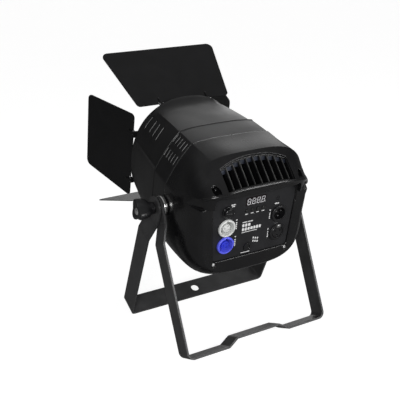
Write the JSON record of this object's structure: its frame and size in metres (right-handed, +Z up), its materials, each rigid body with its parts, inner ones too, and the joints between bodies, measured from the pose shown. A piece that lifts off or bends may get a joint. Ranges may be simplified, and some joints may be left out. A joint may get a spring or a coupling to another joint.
{
  "type": "par can light",
  "caption": "Par can stage light: tilting head with four barn doors, vented rear cover and control panel, on a double folding floor bracket with locking knobs.",
  "frame": {"origin": "on the floor, under the centre of the bounding box at rest", "axes": "+Z up, lamp shines towards -Y (15.3 degrees up at rest), control panel faces +Y, +X to the lamp's left seen from behind on the left of the panel"},
  "size_m": [0.267, 0.3502, 0.3717],
  "materials": {
    "bracket_black": "satin black powder coat",
    "zinc_steel": "bright zinc plate",
    "washer_rubber": "black rubber",
    "knob_black": "moulded black nylon",
    "housing_black": "satin black paint",
    "cover_black": "moulded black plastic, fine texture",
    "screw_steel": "plated steel",
    "lens_glass": "clear moulded glass",
    "trim_black": "satin black",
    "reflector_mirror": "bright aluminised",
    "led_board": "ceramic base with yellow emitter",
    "anodised_aluminium": "anodised",
    "fan_black": "moulded black plastic",
    "chassis_steel": "zinc plated sheet",
    "supply_case": "folded sheet",
    "panel_black": null,
    "socket_white": "pale grey plastic",
    "socket_blue": "blue plastic",
    "data_socket_black": "black",
    "latch_metal": "plated",
    "fuse_black": "black",
    "display_smoke": "smoked window",
    "button_black": "black",
    "capsule_metal": "plain",
    "circuit_green": "printed circuit board",
    "barn_black": "matt black paint",
    "rivet_steel": "plain"
  },
  "bodies": {
    "rear_bracket": {"rear_bracket": "bracket_black", "friction_washer_left": "washer_rubber", "friction_washer_right": "washer_rubber"},
    "front_bracket": {"front_bracket": "bracket_black"},
    "head": {"front_housing": "housing_black", "rear_cover": "cover_black", "pivot_bush_left": "zinc_steel", "pivot_bush_right": "zinc_steel", "cover_screw_upper_left": "screw_steel", "cover_screw_upper_right": "screw_steel", "cover_screw_lower_left": "screw_steel", "cover_screw_lower_right": "screw_steel", "front_lens": "lens_glass", "lens_retainer": "trim_black", "accessory_holder": "trim_black", "reflector": "reflector_mirror", "led_module": "led_board", "heat_sink": "anodised_aluminium", "fan_frame": "fan_black", "chassis_strap": "chassis_steel", "power_supply": "supply_case", "control_panel": "panel_black", "power_out_socket": "socket_white", "power_in_socket": "socket_blue", "dmx_out_socket": "data_socket_black", "dmx_in_socket": "data_socket_black", "fuse_holder": "fuse_black", "service_plug": "fuse_black", "display_module": "display_smoke", "microphone": "capsule_metal", "control_board": "circuit_green"},
    "knob_left": {"tilt_knob_left": "knob_black", "tilt_stud_left": "zinc_steel"},
    "knob_right": {"tilt_knob_right": "knob_black", "tilt_stud_right": "zinc_steel"},
    "barn_ring": {"barn_door_ring": "barn_black", "hinge_rivet_top_1": "rivet_steel", "hinge_rivet_top_2": "rivet_steel", "hinge_rivet_bottom_1": "rivet_steel", "hinge_rivet_bottom_2": "rivet_steel", "hinge_rivet_left_1": "rivet_steel", "hinge_rivet_left_2": "rivet_steel", "hinge_rivet_right_1": "rivet_steel", "hinge_rivet_right_2": "rivet_steel"},
    "leaf_top": {"leaf_top": "barn_black"},
    "leaf_bottom": {"leaf_bottom": "barn_black"},
    "leaf_left": {"leaf_left": "barn_black"},
    "leaf_right": {"leaf_right": "barn_black"},
    "fan_rotor": {"fan_rotor": "fan_black"},
    "fuse_cap": {"fuse_cap": "fuse_black"},
    "dmx_latch": {"dmx_latch": "latch_metal"},
    "menu_button_1": {"menu_button_1": "button_black"},
    "menu_button_2": {"menu_button_2": "button_black"},
    "menu_button_3": {"menu_button_3": "button_black"},
    "menu_button_4": {"menu_button_4": "button_black"}
  },
  "joints": [
    {"name": "stand_swing", "type": "hinge", "parent": "rear_bracket", "child": "front_bracket", "pos_m": [0, 0.07629, 0.1939], "axis": [-1, 0, 0], "range_deg": [-49, 33], "stiffness_Nm_per_rad": 300},
    {"name": "head_tilt", "type": "hinge", "parent": "rear_bracket", "child": "head", "pos_m": [0, 0.07629, 0.1939], "axis": [-1, 0, 0], "range_deg": [-38, 75], "stiffness_Nm_per_rad": 300},
    {"name": "knob_left_turn", "type": "hinge", "parent": "head", "child": "knob_left", "pos_m": [0, 0.07629, 0.1939], "axis": [1, 0, 0], "continuous": true},
    {"name": "knob_right_turn", "type": "hinge", "parent": "head", "child": "knob_right", "pos_m": [0, 0.07629, 0.1939], "axis": [-1, 0, 0], "continuous": true},
    {"name": "barn_ring_turn", "type": "hinge", "parent": "head", "child": "barn_ring", "pos_m": [0, -0.04814, 0.22794], "axis": [0, 0.9646, -0.2639], "range_deg": [-90, 90], "stiffness_Nm_per_rad": 5},
    {"name": "leaf_top_hinge", "type": "hinge", "parent": "barn_ring", "child": "leaf_top", "pos_m": [0, -0.0305, 0.30491], "axis": [1, 0, 0], "range_deg": [-81.6, 67.4], "stiffness_Nm_per_rad": 3},
    {"name": "leaf_bottom_hinge", "type": "hinge", "parent": "barn_ring", "child": "leaf_bottom", "pos_m": [0, -0.07214, 0.15271], "axis": [-1, 0, 0], "range_deg": [-75.65, 73.35], "stiffness_Nm_per_rad": 3},
    {"name": "leaf_left_hinge", "type": "hinge", "parent": "barn_ring", "child": "leaf_left", "pos_m": [0.0789, -0.05132, 0.22881], "axis": [0, 0.2639, 0.9646], "range_deg": [-60.6, 88.4], "stiffness_Nm_per_rad": 3},
    {"name": "leaf_right_hinge", "type": "hinge", "parent": "barn_ring", "child": "leaf_right", "pos_m": [-0.0789, -0.05132, 0.22881], "axis": [0, -0.2639, -0.9646], "range_deg": [-60.6, 88.4], "stiffness_Nm_per_rad": 3},
    {"name": "fan_spin", "type": "hinge", "parent": "head", "child": "fan_rotor", "pos_m": [0, 0.07629, 0.1939], "axis": [0, 0.9646, -0.2639], "continuous": true},
    {"name": "fuse_cap_turn", "type": "hinge", "parent": "head", "child": "fuse_cap", "pos_m": [0.0413, 0.15368, 0.19915], "axis": [0, -0.985, 0.1724], "range_deg": [0, 90]},
    {"name": "dmx_latch_press", "type": "slide", "parent": "head", "child": "dmx_latch", "axis": [0, -0.985, 0.1724], "range_m": [0, 0.0012], "stiffness_N_per_m": 400},
    {"name": "menu_button_1_press", "type": "slide", "parent": "head", "child": "menu_button_1", "axis": [0, -0.985, 0.1724], "range_m": [0, 0.0005], "stiffness_N_per_m": 600},
    {"name": "menu_button_2_press", "type": "slide", "parent": "head", "child": "menu_button_2", "axis": [0, -0.985, 0.1724], "range_m": [0, 0.0005], "stiffness_N_per_m": 600},
    {"name": "menu_button_3_press", "type": "slide", "parent": "head", "child": "menu_button_3", "axis": [0, -0.985, 0.1724], "range_m": [0, 0.0005], "stiffness_N_per_m": 600},
    {"name": "menu_button_4_press", "type": "slide", "parent": "head", "child": "menu_button_4", "axis": [0, -0.985, 0.1724], "range_m": [0, 0.0005], "stiffness_N_per_m": 600}
  ]
}
